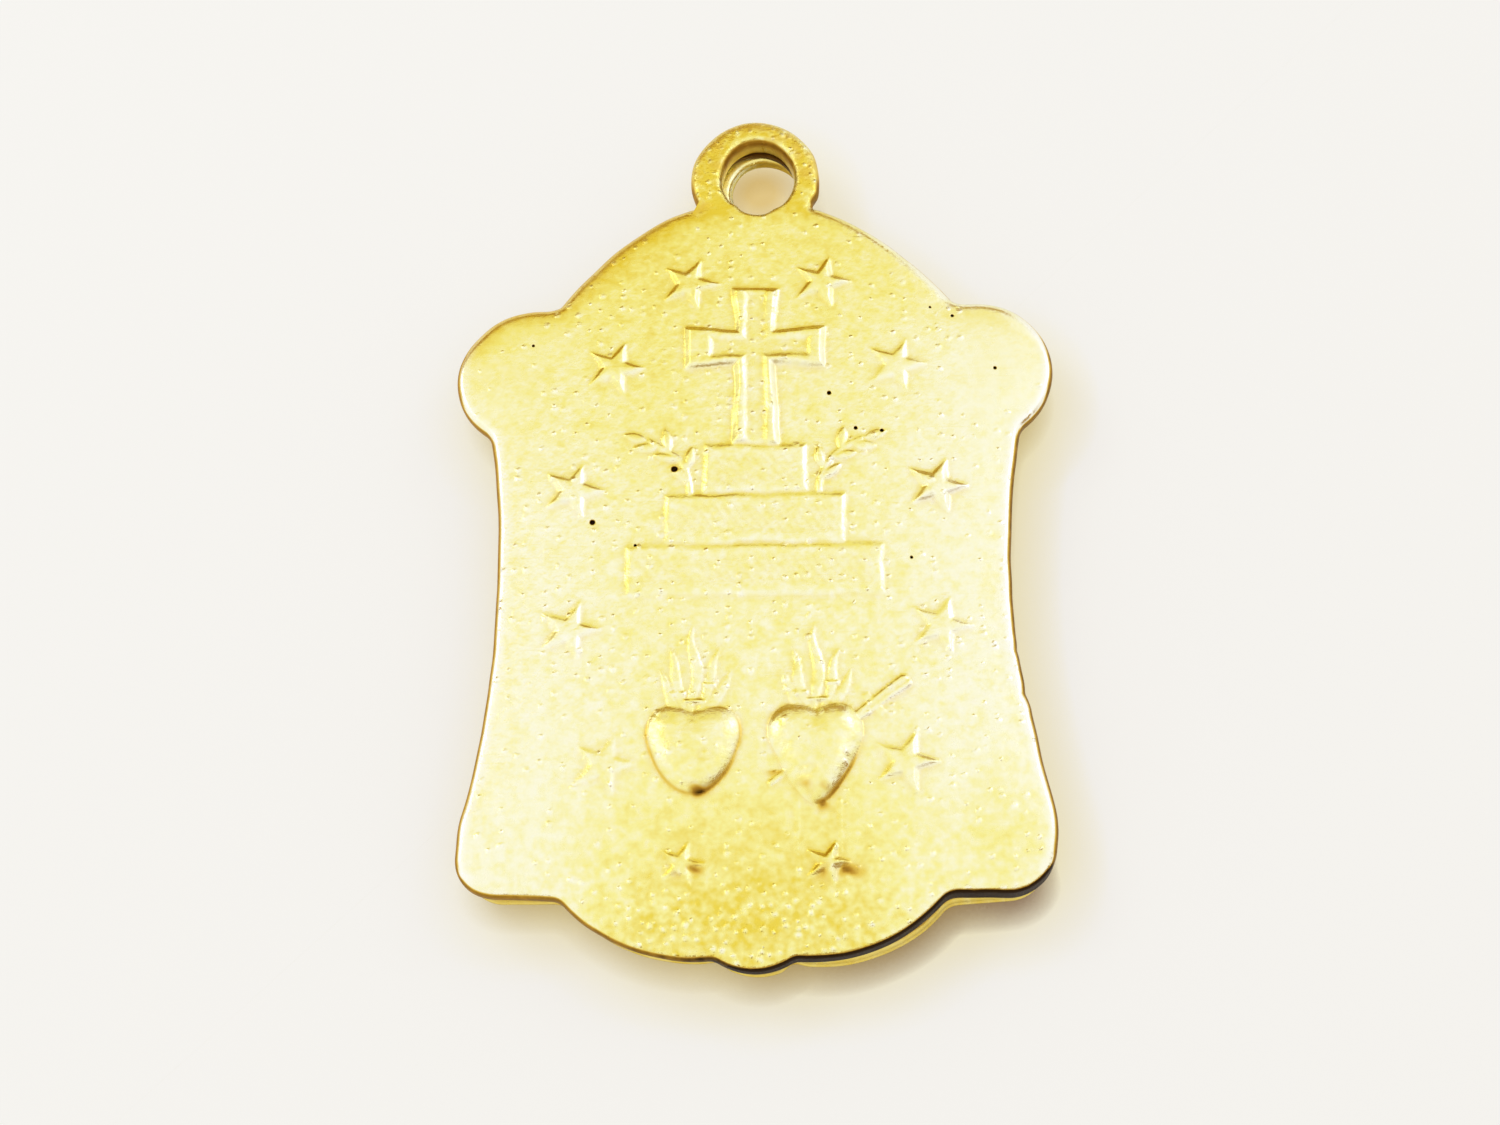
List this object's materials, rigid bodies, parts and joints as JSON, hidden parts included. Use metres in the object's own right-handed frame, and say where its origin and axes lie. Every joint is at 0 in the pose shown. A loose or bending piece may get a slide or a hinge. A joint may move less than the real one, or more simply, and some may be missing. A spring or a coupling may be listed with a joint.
{
  "type": "religious medal",
  "caption": "Flat shaped devotional medal with a pointed arch, shoulder lobes, hollow sides, a rounded foot and a pierced ear for a ring; low religious relief on its faces.",
  "frame": {"origin": "under the middle of the medal, on the surface that it lies on face down", "axes": "+Y along the medal's length towards its ear, +Z out of its back, +X to the right seen from the back"},
  "size_m": [0.016, 0.025, 0.0022],
  "materials": {
    "struck_gold_back": "gold-plated struck brass, bright, with fine pits and soft worn relief",
    "solder": "dull hard solder, lying back in the groove between the layers",
    "struck_gold_front": "gold-plated struck brass, bright, darker in the recesses"
  },
  "bodies": {
    "root": {"back_plate": "struck_gold_back", "solder_seam": "solder", "front_shell": "struck_gold_front"}
  },
  "joints": []
}
